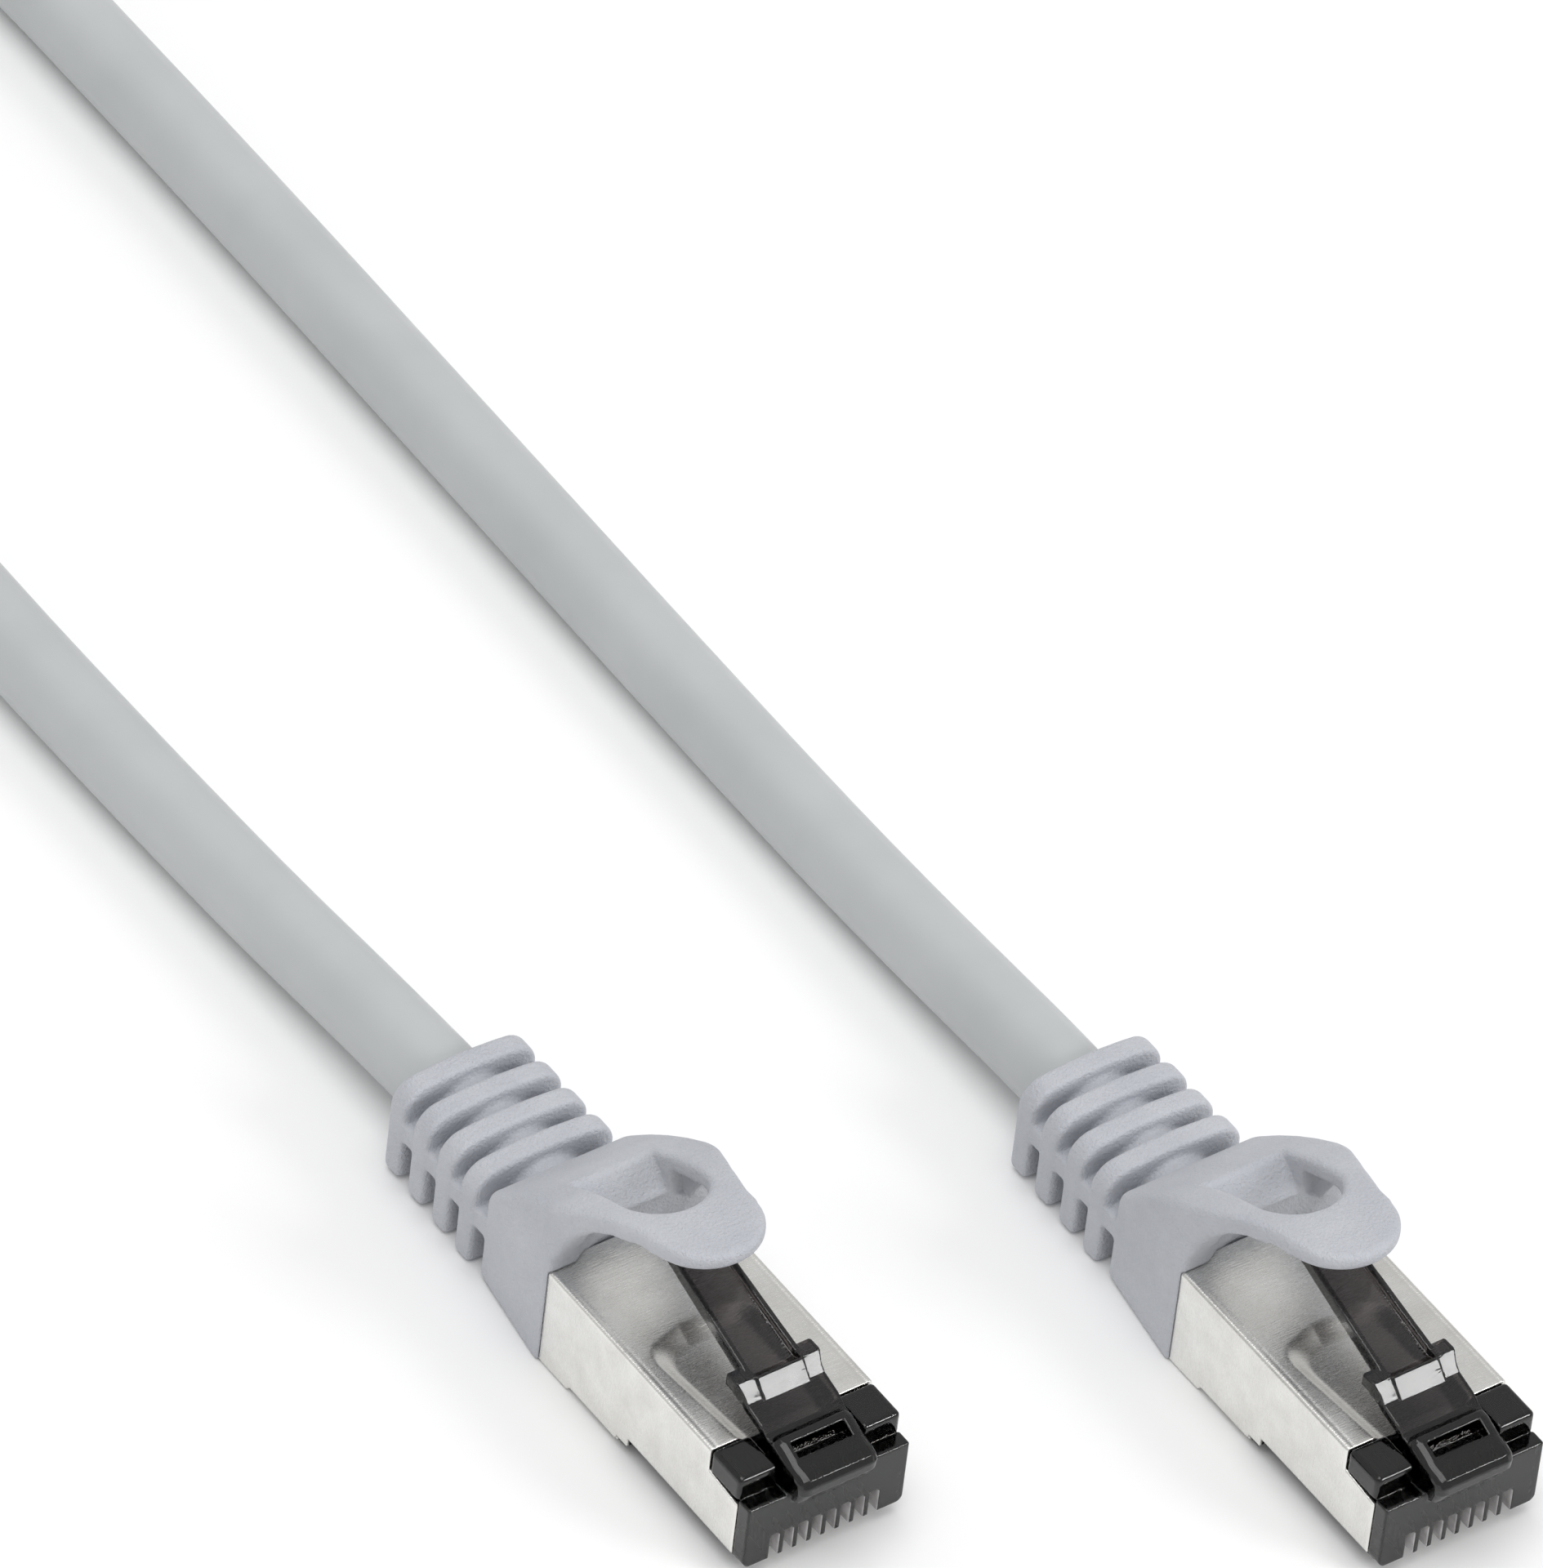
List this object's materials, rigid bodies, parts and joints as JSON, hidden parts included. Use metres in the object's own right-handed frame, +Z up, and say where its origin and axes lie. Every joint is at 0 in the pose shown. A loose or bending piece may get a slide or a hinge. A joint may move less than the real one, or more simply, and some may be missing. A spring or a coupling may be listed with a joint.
{
  "type": "ethernet patch cable",
  "caption": "Shielded patch cable: round grey cable with a latching modular plug, metal shell and ribbed snagless boot on each end.",
  "frame": {"origin": "bottom centre of the box of the two plugs, on the surface they lie on", "axes": "+Z up, +Y from the plugs' noses towards the cable, +X from plug a towards plug b"},
  "size_m": [0.0642, 0.2342, 0.0153],
  "materials": {
    "housing": "smoky translucent polycarbonate, polished",
    "latch": "smoky translucent polycarbonate, polished",
    "shield": "nickel-plated brass sheet, fine cross grain on top, satin sides",
    "load_bar": "natural moulded plastic",
    "foil": "bright foil",
    "braid": "tinned copper braid",
    "jacket": "smooth light grey cable jacket",
    "boot": "light grey moulded elastomer with a fine spark-eroded grain",
    "contact": "gold-plated phosphor bronze",
    "white_wire": "white wire insulation",
    "orange_wire": "orange wire insulation",
    "green_wire": "green wire insulation",
    "blue_wire": "blue wire insulation",
    "brown_wire": "brown wire insulation",
    "tie": "black hook-and-loop strap"
  },
  "bodies": {
    "root": {"housing_a": "housing", "shield_shell_a": "shield", "load_bar_a": "load_bar", "foil_wrap_a": "foil", "braid_fold_a": "braid", "jacket_end_a": "jacket", "boot_a": "boot", "housing_b": "housing", "shield_shell_b": "shield", "load_bar_b": "load_bar", "foil_wrap_b": "foil", "braid_fold_b": "braid", "jacket_end_b": "jacket", "boot_b": "boot", "contact_a1": "contact", "contact_a2": "contact", "contact_a3": "contact", "contact_a4": "contact", "contact_a5": "contact", "contact_a6": "contact", "contact_a7": "contact", "contact_a8": "contact", "contact_b1": "contact", "contact_b2": "contact", "contact_b3": "contact", "contact_b4": "contact", "contact_b5": "contact", "contact_b6": "contact", "contact_b7": "contact", "contact_b8": "contact", "conductor_a1": "white_wire", "conductor_a2": "orange_wire", "conductor_a3": "white_wire", "conductor_a4": "green_wire", "conductor_a5": "white_wire", "conductor_a6": "blue_wire", "conductor_a7": "white_wire", "conductor_a8": "brown_wire", "conductor_b1": "white_wire", "conductor_b2": "orange_wire", "conductor_b3": "white_wire", "conductor_b4": "green_wire", "conductor_b5": "white_wire", "conductor_b6": "blue_wire", "conductor_b7": "white_wire", "conductor_b8": "brown_wire", "cable_lead_a": "jacket", "cable_lead_b": "jacket", "cable_coil": "jacket", "cable_tie": "tie"},
    "latch_a": {"latch_a": "latch"},
    "hood_a": {"hood_a": "boot"},
    "latch_b": {"latch_b": "latch"},
    "hood_b": {"hood_b": "boot"}
  },
  "joints": [
    {"name": "hood_a_press", "type": "hinge", "parent": "root", "child": "hood_a", "pos_m": [-0.0163, 0.01245, 0.0104], "axis": [1, 0, 0], "range_deg": [0, 20], "stiffness_Nm_per_rad": 0.02},
    {"name": "latch_a_press", "type": "hinge", "parent": "root", "child": "latch_a", "pos_m": [-0.0163, -0.00865, 0.0076], "axis": [-1, 0, 0], "range_deg": [0, 9.5], "stiffness_Nm_per_rad": 0.02},
    {"name": "hood_b_press", "type": "hinge", "parent": "root", "child": "hood_b", "pos_m": [0.0163, -0.00615, 0.0104], "axis": [1, 0, 0], "range_deg": [0, 20], "stiffness_Nm_per_rad": 0.02},
    {"name": "latch_b_press", "type": "hinge", "parent": "root", "child": "latch_b", "pos_m": [0.0163, -0.02725, 0.0076], "axis": [-1, 0, 0], "range_deg": [0, 9.5], "stiffness_Nm_per_rad": 0.02}
  ],
  "couplings": [
    {"joint": "latch_a_press", "follows": "hood_a_press", "ratio": 0.45},
    {"joint": "latch_b_press", "follows": "hood_b_press", "ratio": 0.45}
  ]
}
